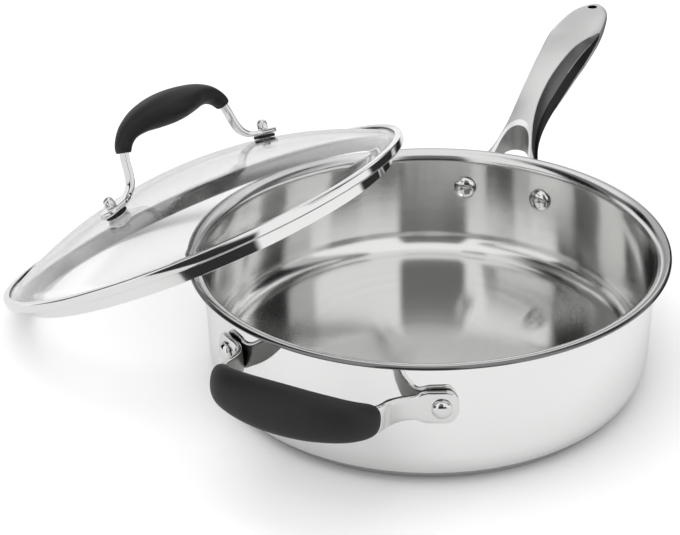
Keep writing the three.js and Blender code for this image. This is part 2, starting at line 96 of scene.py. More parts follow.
def where(wire):
    """The three object coordinates of the point that is shaded."""
    place = wire.node("ShaderNodeTexCoord", out="Object")
    split = wire.node("ShaderNodeSeparateXYZ", links={0: place})
    return split, split.output("Y"), split.output("Z")


def apart(bearing, middle):
    """How far a bearing is from the middle one, in radians, whichever way round is shorter."""
    return bearing.math("ARCCOSINE", bearing.math("COSINE", bearing - middle))


def blend(factor, low, high):
    """A colour that goes from low to high as the factor goes from 0 to 1."""
    links = {"Factor": factor, 6: (*low, 1), 7: (*high, 1)}
    return factor.node("ShaderNodeMix", {"data_type": "RGBA"}, links, out=2)


table_radius, table_drop = 1.4, 0.0004
table_mesh = bpy.data.meshes.new("table")
bm = bmesh.new()
bmesh.ops.create_circle(bm, cap_ends=True, segments=96, radius=table_radius)
bmesh.ops.translate(bm, verts=bm.verts, vec=(0, 0, -table_drop))
bm.to_mesh(table_mesh)
bm.free()
table = bpy.data.objects.new("table", table_mesh)
bpy.context.scene.collection.objects.link(table)
table_paint = bpy.data.materials.new("pale_table")
table_paint.use_nodes = True
paint = Wire(table_paint.node_tree)
x, y, _ = where(paint)
# One more dark card lies on the table itself, well clear of the pan.
lying_card = math.radians(-26)
beside = apart(paint.math("ARCTAN2", y, x), lying_card)
reach_out = (x * x + y * y) ** 0.5
card = (1 - beside.fade(math.radians(28), math.radians(36))) * reach_out.fade(0.30, 0.42)
ray = paint.node("ShaderNodeLightPath", out="Is Glossy Ray")
card = card * ray * (1 - ray.output("Is Transmission Ray"))
table_look = table_paint.node_tree.nodes["Principled BSDF"].inputs
blend(card, (0.96, 0.96, 0.96), (0.02, 0.02, 0.02)).into(table_look["Base Color"])
table_look["Roughness"].default_value = 0.9
table_look["Specular IOR Level"].default_value = 0.0
table_mesh.materials.append(table_paint)

world = bpy.data.worlds.new("studio")
bpy.context.scene.world = world
world.use_nodes = True
sky = Wire(world.node_tree)
way = sky.node("ShaderNodeSeparateXYZ", links={0: sky.node("ShaderNodeTexCoord", out="Generated")})
bearing = sky.math("ARCTAN2", way.output("Y"), way)
upward = way.output("Z")
# Each card: its middle bearing, half its width, where it starts and ends in height, its darkness.
cards = [(-160, 19, 0.3, 0.8, 0.82), (-160, 19, -0.9, 0.36, 0.97), (-132, 13, -0.15, 0.22, 0.97),
         (-66, 22, 0.26, 0.9, 0.45), (-54, 15, 0.26, 0.9, 1.0), (109, 17, -0.9, 0.9, 1.0),
         (85, 14, 0.38, 0.95, 0.8), (58, 14, 0.30, 0.62, 1.0), (26, 18, 0.36, 0.62, 0.45),
         (12, 36, 0.33, 0.43, 0.8), (-18, 25, -0.3, 0.3, 0.97)]
side_soft, foot_soft, top_soft = 2.5, 0.05, 0.06
dark = 0.0
for middle, half, foot, top, depth in cards:
    away = apart(bearing, math.radians(middle))
    card = 1 - away.fade(math.radians(half - side_soft), math.radians(half + side_soft))
    card = card * upward.fade(foot - foot_soft, foot + foot_soft)
    card = card * (1 - upward.fade(top - top_soft, top + top_soft))
    dark = card * depth + dark * (1 - card)
mirrored = sky.math("MINIMUM", sky.node("ShaderNodeLightPath", out="Glossy Depth"), 1.0)
light_all_round = world.node_tree.nodes["Background"].inputs
(1 - mirrored * dark).into(light_all_round["Strength"])
light_all_round["Color"].default_value = (1, 1, 1, 1)

lamp_data = bpy.data.lights.new("overhead_softbox", "AREA")
lamp_data.size = 1.3
lamp_data.energy = 8.5
lamp = bpy.data.objects.new("overhead_softbox", lamp_data)
lamp_spot, lamp_tilt = (-0.35, 0.25, 1.7), math.radians(-14)
lamp.matrix_world = Matrix.Translation(lamp_spot) @ Matrix.Rotation(lamp_tilt, 4, "Y")
lamp.visible_glossy = False
bpy.context.scene.collection.objects.link(lamp)

# The camera stands in front on the helper handle's side, looking down on the rim.
camera_spot = (-0.57943, -0.25494, 0.39687)
picture_px, lens_px, sensor_mm = 680, 1200.0, 36.0
down, roll, heading = math.radians(27.935), math.radians(-2.27), math.radians(28.4)
look = Vector((math.cos(heading) * math.cos(down), math.sin(heading) * math.cos(down),
               -math.sin(down)))
level = Vector((math.sin(heading), -math.cos(heading), 0))
over = level.cross(look)
right = math.cos(roll) * level + math.sin(roll) * over
upright = math.cos(roll) * over - math.sin(roll) * level
camera_data = bpy.data.cameras.new("camera")
camera_data.sensor_width = sensor_mm
camera_data.lens = lens_px / picture_px * sensor_mm
camera = bpy.data.objects.new("camera", camera_data)
camera_turn = Matrix((right, upright, -look)).transposed().to_4x4()
camera.matrix_world = Matrix.Translation(camera_spot) @ camera_turn
bpy.context.scene.collection.objects.link(camera)
bpy.context.scene.camera = camera
bpy.context.scene.view_settings.view_transform = "Standard"


# Pan body: one drawn sheet of stainless steel, 1 mm thick, with an upright wall and a flared
# pouring lip. The inside is brushed round the axis; the lip and the outside are mirror polished.
# The lip has a darker copy of the polished steel, and the outer edge of its roll a near-black one:
# both are painted shade.
def oval(middle_r, middle_z, wide, high, angles):
    """(radius, height) points on an ellipse at the given angles, in degrees."""
    turns = [math.radians(a) for a in angles]
    return [(middle_r + wide * math.cos(a), middle_z + high * math.sin(a)) for a in turns]


def arc(middle_r, middle_z, radius, start, end, steps):
    """Evenly spaced points on a round arc from one angle to another."""
    angles = [start + (end - start) * i / steps for i in range(steps + 1)]
    return oval(middle_r, middle_z, radius, radius, angles)


def turned(name, profile, finishes, pick=lambda r, z: 0, steps=192):
    """A mesh of (radius, height) points turned round Z; pick gives each stretch's finish."""
    looped = profile[0] == profile[-1]
    points = profile[:-1] if looped else profile
    bm = bmesh.new()
    rings = []
    for r, z in points:
        turns = [2 * math.pi * i / steps for i in range(1 if r == 0 else steps)]
        rings.append([bm.verts.new((r * math.cos(a), r * math.sin(a), z)) for a in turns])
    for k in range(len(points) - (0 if looped else 1)):
        low, high = rings[k], rings[(k + 1) % len(rings)]
        (r0, z0), (r1, z1) = points[k], points[(k + 1) % len(points)]
        kind = pick((r0 + r1) / 2, (z0 + z1) / 2)
        for i in range(steps):
            j = (i + 1) % steps
            corners = (low[i % len(low)], low[j % len(low)], high[j % len(high)], high[i % len(high)])
            face = bm.faces.new(list(dict.fromkeys(corners)))
            face.material_index = kind
    bmesh.ops.recalc_face_normals(bm, faces=bm.faces)
    mesh = bpy.data.meshes.new(name)
    bm.to_mesh(mesh)
    bm.free()
    mesh.shade_smooth()
    mesh.set_sharp_from_angle(angle=math.radians(40))
    for material in finishes:
        mesh.materials.append(material)
    return mesh


def fit(name, mesh, body, slot, *nodes):
    """Puts a finished mesh in the scene, in place of its CAD nodes."""
    piece = bpy.data.objects.new(name, mesh)
    bpy.context.scene.collection.objects.link(piece)
    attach(piece, body)
    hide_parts(*nodes)


def new_finish(name, sockets):
    """A material whose Principled sockets hold these values, with a wire to add nodes by."""
    material = bpy.data.materials.new(name)
    material.use_nodes = True
    shader = material.node_tree.nodes["Principled BSDF"]
    for socket, value in sockets.items():
        shader.inputs[socket].default_value = value
    return material, shader.inputs, Wire(material.node_tree)


def bumped(height, strength, distance):
    """A surface direction roughened by the height."""
    links = {"Height": height, "Strength": strength, "Distance": distance}
    return height.node("ShaderNodeBump", links=links)


def cloudy(place, scale, detail):
    """Noise from 0 to 1 through space."""
    links = {"Vector": place, "Scale": scale, "Detail": detail}
    return place.node("ShaderNodeTexNoise", links=links, out="Fac")


rim_height, wall_radius, sheet = 0.0795, 0.132, 0.001
lip_top, lip_flare, lip_roll = 0.1384, 0.0074, 0.0019
flare_height, roll_height = rim_height - lip_flare, rim_height - lip_roll
floor_top, floor_bend = 0.0072, 0.0135
flat_floor, bend_top = wall_radius - sheet - floor_bend, floor_top + floor_bend
foot_radius, foot_bend, foot_height = 0.1198, 0.0122, 0.0187


def brushed_inside():
    """Fine rings turned into the floor and the wall, with a few deeper ones; blurred in the bend."""
    sockets = {"Metallic": 1.0, "Anisotropic": 0.97, "Anisotropic Rotation": 0.25}
    material, inputs, wire = new_finish("brushed_inside", sockets)
    x, y, z = where(wire)
    from_axis = (x * x + y * y) ** 0.5

    def rings(per_metre, detail):
        links = {"W": (from_axis + z) * per_metre, "Scale": 1.0, "Detail": detail}
        return wire.node("ShaderNodeTexNoise", {"noise_dimensions": "1D"}, links, out="Fac")

    fine, broad = rings(1500, 3.0), rings(160, 2.0)
    bend = from_axis.fade(flat_floor - 0.001, flat_floor + 0.0015)
    bend = bend * (1 - z.fade(bend_top - 0.0027, bend_top + 0.0013))
    (0.075 + 0.05 * fine + 0.03 * broad + 0.04 * bend).into(inputs["Roughness"])
    tone = blend(fine * 0.6 + broad * 0.4, (0.76, 0.76, 0.75), (0.86, 0.86, 0.85))
    tone.into(inputs["Base Color"])
    bumped(fine, 0.05, 0.0002).into(inputs["Normal"])
    return material


def polished_steel(name, colour, low, high):
    """Mirror polish with the faint unevenness that a buffing wheel leaves."""
    material, inputs, wire = new_finish(name, {"Base Color": (*colour, 1), "Metallic": 1.0})
    cloud = cloudy(wire.node("ShaderNodeTexCoord", out="Object"), 22.0, 3.0)
    (low + (high - low) * cloud).into(inputs["Roughness"])
    bumped(cloud, 0.02, 0.001).into(inputs["Normal"])
    return material


pan_profile = (
    [(0.0, floor_top)]
    + [(r / 1000, floor_top) for r in range(20, 119, 20)]
    + arc(flat_floor, bend_top, floor_bend, -90, 0, 16)
    + arc(lip_top, flare_height, lip_flare, 180, 94, 16)
    + arc(lip_top, roll_height, lip_roll, 90, 4, 12)
    + arc(lip_top, roll_height, lip_roll - sheet, 4, 90, 10)
    + arc(lip_top, flare_height, lip_flare - sheet, 94, 180, 16)
    + oval(foot_radius, foot_height, foot_bend, -foot_height, range(0, 37, 3))
    + [(0.1285, 0.0086), (0.1265, floor_top - sheet), (0.0, floor_top - sheet)]
)
pan_finishes = [
    brushed_inside(),
    polished_steel("polished_steel", (0.92, 0.92, 0.915), 0.03, 0.10),
    # Painted shade: the lip's steel is darker than the outside's, though it is the same sheet.
    polished_steel("lip_steel_shaded", (0.72, 0.72, 0.715), 0.12, 0.20),
    # Painted shade: the outer edge of the roll is near black, as a dark line under the lip.
    polished_steel("lip_edge_shade", (0.20, 0.20, 0.20), 0.10, 0.18),
]
on_inside, on_outside, on_shaded_lip, on_edge_shade = range(4)
brushed_top, wall_foot, edge_turn = rim_height - 0.0070, 0.0185, 75


def pan_side(r, z):
    """Which of the pan's finishes the sheet has at a radius and a height."""
    round_roll = math.degrees(math.atan2(z - roll_height, r - lip_top))
    # Beyond this turn the roll's outer edge takes the painted dark shade.
    if r > lip_top and round_roll < edge_turn:
        return on_edge_shade
    if z > flare_height and math.hypot(r - lip_top, z - flare_height) > lip_flare - sheet / 2:
        return on_shaded_lip
    if z > brushed_top or z < floor_top - sheet / 2 or r > wall_radius - sheet / 2:
        return on_outside
    in_bend = math.hypot(r - flat_floor, z - bend_top) < floor_bend + sheet / 2
    return on_inside if in_bend or z > wall_foot or r < flat_floor else on_outside


pan_mesh = turned("pan_body_shown", pan_profile, pan_finishes, pan_side, steps=256)
fit("pan_body_shown", pan_mesh, "pan", "polished_steel", "pan_body")


# Bonded base: an aluminium disc that spreads the heat, pressed between the floor and a magnetic
# steel cap. Only the cap shows, as a satin band with a rounded edge under the wall. The cap's
# colour is darker than its steel's own: painted shade of the shadowed table that it mirrors.
def satin_steel(name, colour, roughness, metallic=1.0):
    """Steel dulled by a fine belt: short scratches and a soft blur."""
    material, inputs, wire = new_finish(name, {"Metallic": metallic})
    place = wire.node("ShaderNodeTexCoord", out="Object")
    grain, cloud = cloudy(place, 900.0, 3.0), cloudy(place, 30.0, 2.0)
    (roughness - 0.08 + 0.10 * grain + 0.06 * cloud).into(inputs["Roughness"])
    deep, pale = [c * 0.9 for c in colour], [min(1, c * 1.06) for c in colour]
    blend(grain * 0.5 + cloud * 0.5, deep, pale).into(inputs["Base Color"])
    bumped(grain, 0.08, 0.0002).into(inputs["Normal"])
    return material


cap_flat, cap_sheet = 0.118, 0.0009
cap_profile = (
    [(0.0, 0.0), (cap_flat, 0.0)]
    + oval(foot_radius, foot_height, foot_bend, -foot_height, range(87, 36, -3))
    + [(0.1294, 0.0075), (0.1285, 0.0070), (0.1212, cap_sheet), (0.0, cap_sheet)]
)
# Satin steel, darkened as painted shade of the table's shadow under the pan.
cap_steel_shaded = satin_steel("cap_steel_shaded", (0.46, 0.46, 0.455), 0.3)
cap_mesh = turned("base_cap_shown", cap_profile, [cap_steel_shaded], steps=256)
fit("base_cap_shown", cap_mesh, "pan", "satin_steel", "base_cap")
core_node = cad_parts["base_core"]
core_node.data.materials.clear()
core_node.data.materials.append(satin_steel("core_aluminium", (0.72, 0.73, 0.74), 0.45))


# Long handle: one steel casting. Two legs are riveted to the wall and join in an arch; beyond it
# the top is a narrow satin panel between two dark scooped flanks, and the end has a hang hole.
# Shade and light are painted into its finishes: near-black shade on the lower flanks, on their foot
# near the legs and on the hang hole's wall; a lighter upper flank as sheen; a satin strip as a
# highlight along the middle of the flank; a darker notch face as shade; and a near-white bevel
# round the arch as a highlight.
def clamp(t):
    return max(0.0, min(1.0, t))


def ease(t):
    """From 0 to 1 as t does, with a soft start and a soft end."""
    t = clamp(t)
    return t * t * (3 - 2 * t)


def curved(start, end, leave, arrive, t):
    """A point or a value from start to end, with the rates at which it leaves and arrives."""
    return ((2 * t**3 - 3 * t**2 + 1) * start + (t**3 - 2 * t**2 + t) * leave
            + (3 * t**2 - 2 * t**3) * end + (t**3 - t**2) * arrive)


def distances(line):
    """How far along the line each of its points is."""
    done = [0.0]
    for p, q in zip(line, line[1:]):
        done.append(done[-1] + (q - p).length)
    return done


def direction(line, k):
    """Which way the line runs at its point k."""
    return (line[min(k + 1, len(line) - 1)] - line[max(k - 1, 0)]).normalized()


def smooth_path(points, count):
    """Evenly spaced points on a smooth line through the given ones."""
    points = [Vector(p) for p in points]
    ends = [2 * points[0] - points[1], *points, 2 * points[-1] - points[-2]]
    line, pieces = [], 40
    for a, b, c, d in zip(ends, ends[1:], ends[2:], ends[3:]):
        da, db, dc = ((q - p).length ** 0.5 for p, q in ((a, b), (b, c), (c, d)))
        leave = ((b - a) / da - (c - a) / (da + db) + (c - b) / db) * db
        arrive = ((c - b) / db - (d - b) / (db + dc) + (d - c) / dc) * db
        line += [curved(b, c, leave, arrive, i / pieces) for i in range(pieces)]
    line.append(points[-1])
    done = distances(line)
    spaced, k = [], 0
    for i in range(count):
        goal = done[-1] * i / (count - 1)
        while k < len(line) - 2 and done[k + 1] < goal:
            k += 1
        spaced.append(line[k].lerp(line[k + 1], (goal - done[k]) / (done[k + 1] - done[k])))
    return spaced


def between(rows, key, column):
    """A smooth value at key from rows that start with their own key."""
    rows = sorted(rows)
    k = max(i for i in range(len(rows) - 1) if i == 0 or rows[i][0] <= key)
    a, b = rows[k], rows[k + 1]
    before = rows[k - 1] if k else a
    after = rows[k + 2] if k + 2 < len(rows) else b
    width = b[0] - a[0]

    def rise(p, q):
        return (q[column] - p[column]) / (q[0] - p[0]) * width if q[0] != p[0] else 0.0

    return curved(a[column], b[column], rise(before, b), rise(a, after), clamp((key - a[0]) / width))


# Distance out, height, half width, half width of the top panel, top and bottom, in millimetres.
handle_stations = [
    (134.4, 45.5, 35, 34, 1.8, -1.8), (134.4, 62, 35, 34, 1.8, -1.8),
    (136.6, 67.2, 29.5, 28, 2.4, -2.4), (141.5, 71.8, 21.2, 19.4, 3.4, -3.8),
    (148, 76.5, 16.8, 14, 4.6, -6), (156, 81.9, 13.8, 10.8, 6.6, -8.5),
    (166, 86.9, 12.4, 8.4, 10, -9), (175, 90.8, 12.3, 7.5, 12.8, -8.8),
    (185, 94.9, 13, 7.2, 14.6, -8.5), (200, 100.3, 14.8, 7.5, 15.8, -8.4),
    (215, 105.5, 16.3, 8.5, 15.4, -8.8), (230, 110.4, 17.7, 9.7, 13.9, -9),
    (245, 114.8, 19, 10.8, 11.7, -9.2), (260, 118.8, 19.6, 12.2, 9, -9),
    (272, 121.7, 19.7, 13.8, 6.6, -8.8), (282, 124, 19, 14.6, 4.9, -8.2),
    (291, 126, 18, 14.2, 3.8, -7.4), (305.8, 129.1, 15.5, 12.6, 2.3, -6),
    (316.7, 130.7, 12.5, 11.4, 1.5, -4.8), (324.3, 131.3, 8.3, 7.5, 1.1, -3.6),
    (328.7, 131.6, 4.2, 3.6, 0.8, -2.2),
]
handle_line = smooth_path([(x, 0, z) for x, z, *_ in handle_stations], 170)
handle_run = distances(handle_line)
along_stations = []
for station in handle_stations:
    place = Vector((station[0], 0, station[1]))
    nearest = min(range(len(handle_line)), key=lambda i: (handle_line[i] - place).length)
    along_stations.append((handle_run[nearest], *station[2:]))

handle_finishes = [
    satin_steel("handle_satin", (0.76, 0.76, 0.755), 0.42),
    # Painted sheen: the upper flank is lighter than the lower, as light falls on it.
    satin_steel("flank_upper_sheen", (0.27, 0.27, 0.27), 0.36),
    # Painted shade: the lower flank, its foot near the legs and the hang hole's wall are near black.
    satin_steel("flank_lower_shade", (0.03, 0.03, 0.03), 0.30),
    # Painted shade: the notch face is a darker copy of the casting's steel.
    satin_steel("arch_face_shade", (0.50, 0.50, 0.495), 0.5),
    # Painted highlight: the bevel round the arch is near white and only half metal.
    satin_steel("arch_edge_highlight", (0.94, 0.94, 0.935), 0.36, metallic=0.3),
]
on_satin, on_flank_sheen, on_shade, on_arch_shade, on_bevel_highlight = range(5)
# Where along the handle, in millimetres out, its section and its finishes change.
neck_out, neck_run = 150, 40
dome_out, dome_run = 240, 48
shut_out, shut_run = 256, 24
taper_end, taper_run = 250, 55
flank_start, flank_end, shade_end = 139, 280, 195
# Between these the middle of the flank is a satin strip: a painted highlight line.
highlight_start, highlight_end = 222, 262
# Places round the section, from the panel's middle at 0 to the side at 1, and a dome's turn there.
panel_edge, flank_top, flank_foot = 0.5, 0.52, 0.95
edge_angle, foot_angle, side_angle = 52, 84, 90


def handle_section(half, panel, top, bottom, out):
    """One half of the section, from the panel's middle to the keel, with each stretch's finish."""
    low = bottom * (0.8 - 0.45 * clamp((out - neck_out) / neck_run))
    lip, bevel = min(0.9, 0.4 * (half - panel)), min(0.4, 0.2 * (half - panel))
    lip_rise, crown_rise = 0.3 + 0.85 * lip, 0.5
    domed = ease((out - dome_out) / dome_run)

    def outline(u):
        """Along the panel, down the scooped flank and over the lip at its foot."""
        if u <= panel_edge:
            t = u / panel_edge
            y, n, angle = panel * t, top + crown_rise * (1 - t * t), edge_angle * t
        elif u <= flank_foot:
            t = max(0.0, (u - flank_top) / (flank_foot - flank_top))
            y = panel + bevel + (half - lip - panel - bevel) * t**1.3
            n = top - bevel + (low + lip_rise - top + bevel) * t
            angle = edge_angle + (foot_angle - edge_angle) * t
        else:
            t = (u - flank_foot) / (1 - flank_foot)
            y, n = half - lip * (1 - t), low + lip_rise * (1 - t)
            angle = foot_angle + (side_angle - foot_angle) * t
        turn = math.radians(angle)
        y_dome = half * math.sin(turn)
        n_dome = low + (top + crown_rise - low) * max(0.0, math.cos(turn)) ** 0.7
        return y + (y_dome - y) * domed, n + (n_dome - n) * domed

    # The dark flank runs from one edge to the other; towards the end both close on one point.
    t = clamp((out - shut_out) / shut_run)
    shut = 1 - math.sqrt(1 - t * t)
    taper = clamp((taper_end - out) / taper_run)
    upper, lower = flank_top + 0.20 * shut, flank_foot + 0.045 * taper - 0.22 * shut
    flank = [upper + (lower - upper) * t for t in (0, 0.2, 0.4, 0.57, 0.6, 0.8, 1)]
    points = [outline(u) for u in (0, 0.18, 0.33, 0.44, panel_edge, *flank, 0.35 * lower + 0.65, 1)]
    # Painted highlight: a thin satin strip along the middle of the dark flank.
    crease_highlight = on_satin if highlight_start < out < highlight_end else on_flank_sheen
    scoop = [on_flank_sheen] * 3 + [crease_highlight] + [on_shade] * 2
    if not flank_start < out < flank_end:
        scoop = [on_satin] * 6
    # Near the legs the flank's foot takes the painted shade too.
    foot = [on_shade if flank_start < out < shade_end else on_satin] * 2
    kinds = [on_satin] * 5 + scoop + foot + [on_satin] * 5
    for turn in (0.1 * math.pi, 0.2 * math.pi, 0.3 * math.pi, 0.4 * math.pi):
        points.append((half * math.cos(turn) ** 0.8, low + (bottom - low) * math.sin(turn)))
    points.append((0.0, bottom))
    return points, kinds


bm = bmesh.new()
rings, crown, round_kinds = [], [], []
wall_mm, hug_out, hug_run = 1000 * wall_radius, 136, 20
for k, place in enumerate(handle_line):
    run = direction(handle_line, k)
    half, panel, top_z, bottom_z = (between(along_stations, handle_run[k], c) for c in (1, 2, 3, 4))
    section, kinds = handle_section(half, panel, top_z, bottom_z, place.x)
    crest = top_z + 0.4
    crown.append((place.x - crest * run.z, place.z + crest * run.x))
    round_kinds.append(kinds + kinds[::-1])
    hug = ease(1 - (place.x - hug_out) / hug_run)
    ring = []
    for y, n in section + [(-y, n) for y, n in section[-2:0:-1]]:
        sag = hug * (wall_mm - math.sqrt(wall_mm**2 - y * y))
        ring.append(bm.verts.new(Vector((place.x - n * run.z - sag, y, place.z + n * run.x)) / 1000))
    rings.append(ring)
for low, high, kinds in zip(rings, rings[1:], round_kinds):
    for i, kind in enumerate(kinds):
        j = (i + 1) % len(low)
        bm.faces.new((low[i], low[j], high[j], high[i])).material_index = kind
bm.faces.new(rings[0])
bm.faces.new(rings[-1][::-1])
bmesh.ops.recalc_face_normals(bm, faces=bm.faces)
handle_mesh = bpy.data.meshes.new("long_handle_cast")
bm.to_mesh(handle_mesh)
bm.free()
for material in handle_finishes:
    handle_mesh.materials.append(material)
cast = bpy.data.objects.new("long_handle_cast", handle_mesh)
bpy.context.scene.collection.objects.link(cast)


def cutter(name, layers, pick):
    """A closed loft through layers of points, to be cut out of the casting."""
    bm = bmesh.new()
    loops = [[bm.verts.new(Vector(p) / 1000) for p in layer] for layer in layers]
    for k, (low, high) in enumerate(zip(loops, loops[1:])):
        for i in range(len(low)):
            j = (i + 1) % len(low)
            bm.faces.new((low[i], low[j], high[j], high[i])).material_index = pick(k)
    bm.faces.new(loops[0])
    bm.faces.new(loops[-1][::-1])
    bmesh.ops.recalc_face_normals(bm, faces=bm.faces)
    mesh = bpy.data.meshes.new(name)
    bm.to_mesh(mesh)
    bm.free()
    for material in handle_finishes:
        mesh.materials.append(material)
    tool = bpy.data.objects.new(name, mesh)
    bpy.context.scene.collection.objects.link(tool)
    return tool


def crown_height(x):
    """The height of the casting's top, along its middle."""
    k = next((i for i in range(len(crown) - 1) if crown[i + 1][0] >= x), len(crown) - 2)
    (x0, z0), (x1, z1) = crown[k], crown[k + 1]
    return z0 + (z1 - z0) * (max(x, x0) - x0) / max(1e-6, x1 - x0)


arch_points = [(112, 12.6), (137, 12.6), (143, 12), (147, 11), (150.5, 10), (153, 9), (156, 7.4),
               (158.4, 4.8), (159.5, 2), (159.7, 0)]
arch_half = smooth_path([(x, y, 0) for x, y in arch_points], 44)
arch_line = [(p.x, p.y) for p in arch_half] + [(p.x, -p.y) for p in arch_half[-2::-1]]
arch_middle = 140


def arch_layer(spread, above=0.0, height=None):
    """The arch's outline spread outwards, at one height or above the top of the casting."""
    layer = []
    for i, (x, y) in enumerate(arch_line):
        (x0, y0), (x1, y1) = arch_line[max(0, i - 1)], arch_line[min(len(arch_line) - 1, i + 1)]
        outward = Vector((-(y1 - y0), x1 - x0)).normalized() * spread
        if outward.dot(Vector((arch_middle - x, -y))) > 0:
            outward = -outward
        z = crown_height(x + outward.x) + above if height is None else height
        layer.append((x + outward.x, y + outward.y, z))
    return layer


def tube(outline, low, high):
    """Two layers that carry an outline straight up."""
    return [[(x, y, z) for x, y in outline] for z in (low, high)]


arch_layers = [arch_layer(0, height=20), arch_layer(0, above=-1.8), arch_layer(1.8, above=0.1),
               arch_layer(2.6, above=3.0), arch_layer(2.6, height=150)]
hole_out, hole_radius, hole_stretch = 319.5, 3.5, 0.5
hole = []
for i in range(48):
    turn = 2 * math.pi * (i + 0.5) / 48
    shift = hole_out + math.copysign(hole_stretch, math.cos(turn))
    hole.append((shift + hole_radius * math.cos(turn), hole_radius * math.sin(turn)))
seat_radius = wall_mm + 0.4
seat_turns = [2 * math.pi * i / 192 for i in range(192)]
seat = [(seat_radius * math.cos(a), seat_radius * math.sin(a)) for a in seat_turns]
tools = [
    # The notch face takes the painted shade, and its bevel the painted highlight.
    cutter("arch_cut", arch_layers, lambda k: on_arch_shade if k == 0 else on_bevel_highlight),
    # The hang hole's wall takes the painted shade.
    cutter("hang_cut", tube(hole, 100, 160), lambda k: on_shade),
    cutter("wall_seat", tube(seat, 10, 130), lambda k: on_satin),
]
for tool in tools:
    cut = cast.modifiers.new(tool.name, "BOOLEAN")
    cut.operation, cut.solver, cut.object = "DIFFERENCE", "EXACT", tool
    cut.material_mode = "TRANSFER"
bpy.context.view_layer.update()
cut_cast = cast.evaluated_get(bpy.context.evaluated_depsgraph_get())
handle_final = bpy.data.meshes.new_from_object(cut_cast)
handle_final.name = "long_handle_shown"
for spare in (cast, *tools):
    bpy.data.objects.remove(spare)


def crisp(mesh, degrees):
    """Cleans a cut mesh, then hardens its edges where it folds or where two finishes meet."""
    mesh.shade_smooth()
    bm = bmesh.new()
    bm.from_mesh(mesh)
    bmesh.ops.remove_doubles(bm, verts=bm.verts, dist=1e-5)
    bmesh.ops.dissolve_degenerate(bm, edges=bm.edges, dist=1e-6)
    many_sided = [face for face in bm.faces if len(face.verts) > 4]
    bmesh.ops.triangulate(bm, faces=many_sided, ngon_method="BEAUTY")
    for edge in bm.edges:
        faces = edge.link_faces
        fold = len(faces) == 2 and edge.calc_face_angle(0) > math.radians(degrees)
        edge.smooth = not (fold or len({face.material_index for face in faces}) > 1)
    bm.to_mesh(mesh)
    bm.free()


crisp(handle_final, 32)
fit("long_handle_shown", handle_final, "pan", "satin_steel", "long_handle")


# Rivets: solid steel, two for each handle of the pan, with a low dome inside the wall and another
# over the handle's foot. One rivet is turned, then placed twice round the pan's axis.
def new_tree(name, sockets):
    """A geometry tree with these inputs besides its mesh, and a wire from them."""
    tree = bpy.data.node_groups.new(name, "GeometryNodeTree")
    tree.interface.new_socket("Geometry", in_out="INPUT", socket_type="NodeSocketGeometry")
    for socket, kind in sockets.items():
        tree.interface.new_socket(socket, in_out="INPUT", socket_type=f"NodeSocket{kind}")
    tree.interface.new_socket("Geometry", in_out="OUTPUT", socket_type="NodeSocketGeometry")
    return tree, Wire(tree).node("NodeGroupInput")


def painted(geometry, material, **selection):
    """The geometry with a material, all over or where it is selected."""
    links = {"Geometry": geometry, "Material": material, **selection}
    return geometry.node("GeometryNodeSetMaterial", links=links)


def pair_tree():
    """Places its mesh twice round Z, a spread to each side of a bearing, at a height."""
    sockets = {"Bearing": "Float", "Spread": "Float", "Height": "Float", "Finish": "Material"}
    tree, given = new_tree("pair_round_axis", sockets)
    spots = given.node("GeometryNodeMeshLine", links={"Count": 2, "Offset": (0, 0, 0)})
    side = given.node("GeometryNodeInputIndex") * 2 - 1
    angle = given.output("Bearing") + side * given.output("Spread")
    turn = given.node("ShaderNodeCombineXYZ", links={"Z": angle})
    lift = given.node("ShaderNodeCombineXYZ", links={"Z": given.output("Height")})
    raised = given.node("GeometryNodeSetPosition", links={"Geometry": spots, "Offset": lift})
    placed = given.node("GeometryNodeInstanceOnPoints",
                        links={"Points": raised, "Instance": given, "Rotation": turn})
    real = given.node("GeometryNodeRealizeInstances", links={"Geometry": placed})
    given.node("NodeGroupOutput", links={"Geometry": painted(real, given.output("Finish"))})
    return tree


def grown(name, mesh, tree, inputs):
    """The plain mesh that a node tree makes of a mesh, with the tree's named inputs set."""
    seed = bpy.data.objects.new(name, mesh)
    bpy.context.scene.collection.objects.link(seed)
    grower = seed.modifiers.new("grower", "NODES")
    grower.node_group = tree
    for item in tree.interface.items_tree:
        if item.in_out == "INPUT" and item.name in inputs:
            grower[item.identifier] = inputs[item.name]
    bpy.context.view_layer.update()
    full_grown = seed.evaluated_get(bpy.context.evaluated_depsgraph_get())
    made = bpy.data.meshes.new_from_object(full_grown)
    made.name = name
    seed.modifiers.remove(grower)
    bpy.data.objects.remove(seed)
    made.shade_smooth()
    made.set_sharp_from_angle(angle=math.radians(35))
    return made


inner_face, inner_radius, inner_height, shank = 0.1304, 0.0077, 0.0036, 0.003
inner_edge, outer_edge = 0.0004, 0.0005


def rivet(name, outer_face, outer_radius, outer_height):
    """A rivet on X, from the dome inside the wall to the one on the handle's foot."""
    inner_base, outer_base = inner_face - inner_edge, outer_face + outer_edge
    profile = (
        [(0.0, inner_base - inner_height)]
        + oval(0.0, inner_base, inner_radius, -inner_height, range(85, -1, -8))
        + [(inner_radius, inner_face), (shank, inner_face)]
        + [(shank, outer_face), (outer_radius, outer_face)]
        + oval(0.0, outer_base, outer_radius, outer_height, range(0, 86, 8))
        + [(0.0, outer_base + outer_height)]
    )
    mesh = turned(name, profile, [], steps=40)
    mesh.transform(Matrix.Rotation(math.pi / 2, 4, "Y"))
    return mesh


